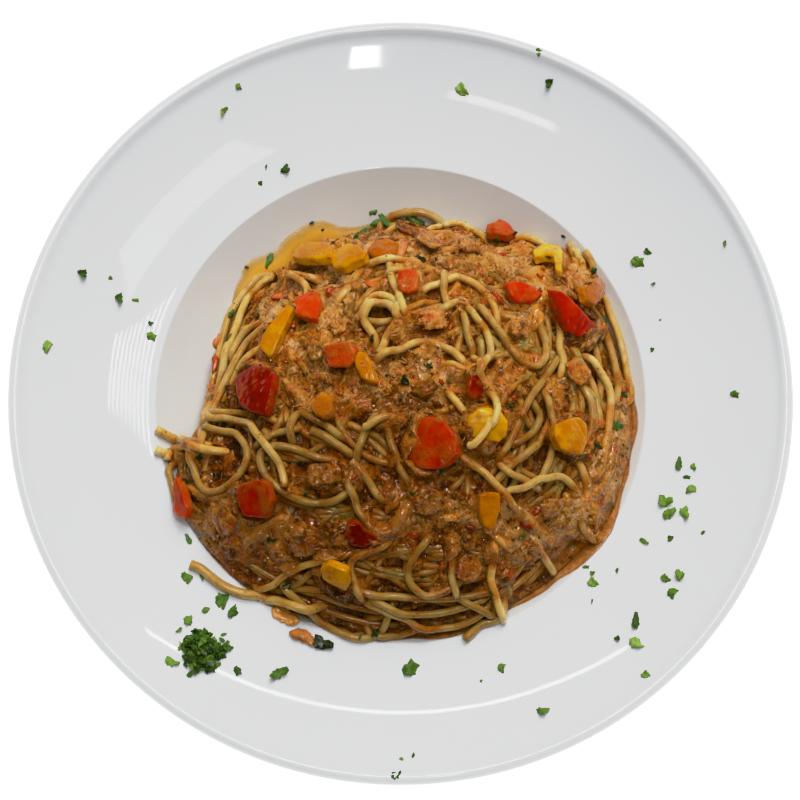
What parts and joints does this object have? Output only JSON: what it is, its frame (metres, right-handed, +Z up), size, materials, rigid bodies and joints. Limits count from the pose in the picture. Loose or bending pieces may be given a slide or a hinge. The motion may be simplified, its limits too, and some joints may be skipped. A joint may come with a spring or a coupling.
{
  "type": "tuna pasta",
  "caption": "Heap of spaghetti in tuna and tomato sauce with pepper pieces, on a wide-rimmed round white plate scattered with parsley.",
  "frame": {"origin": "middle of the foot ring, on the table", "axes": "+Z up; the camera of the picture looks from -Y, 76 degrees above the table; +X is the picture's right"},
  "size_m": [0.27, 0.27, 0.0633],
  "materials": {
    "porcelain": "glossy white glazed porcelain",
    "pasta": "boiled pasta with a wet coat of sauce",
    "sauce": "oily orange sauce",
    "red_pepper": "cooked red pepper, wet skin",
    "yellow_pepper": "cooked yellow pepper, wet skin",
    "tuna": "flaked tuna in sauce",
    "parsley": "chopped green leaf"
  },
  "bodies": {
    "root": {"plate": "porcelain", "spaghetti": "pasta", "sauce": "sauce", "red_pepper_01": "red_pepper", "red_pepper_02": "red_pepper", "red_pepper_03": "red_pepper", "red_pepper_04": "red_pepper", "red_pepper_05": "red_pepper", "red_pepper_06": "red_pepper", "red_pepper_07": "red_pepper", "red_pepper_08": "red_pepper", "red_pepper_09": "red_pepper", "red_pepper_10": "red_pepper", "red_pepper_11": "red_pepper", "red_pepper_12": "red_pepper", "yellow_pepper_01": "yellow_pepper", "yellow_pepper_02": "yellow_pepper", "yellow_pepper_03": "yellow_pepper", "yellow_pepper_04": "yellow_pepper", "yellow_pepper_05": "yellow_pepper", "yellow_pepper_06": "yellow_pepper", "yellow_pepper_07": "yellow_pepper", "yellow_pepper_08": "yellow_pepper", "yellow_pepper_09": "yellow_pepper", "yellow_pepper_10": "yellow_pepper", "yellow_pepper_11": "yellow_pepper", "yellow_pepper_12": "yellow_pepper", "tuna_01": "tuna", "tuna_02": "tuna", "tuna_03": "tuna", "tuna_04": "tuna", "tuna_05": "tuna", "tuna_06": "tuna", "tuna_07": "tuna", "tuna_08": "tuna", "tuna_09": "tuna", "tuna_10": "tuna", "tuna_11": "tuna", "tuna_12": "tuna", "parsley_heap": "parsley"}
  },
  "joints": []
}
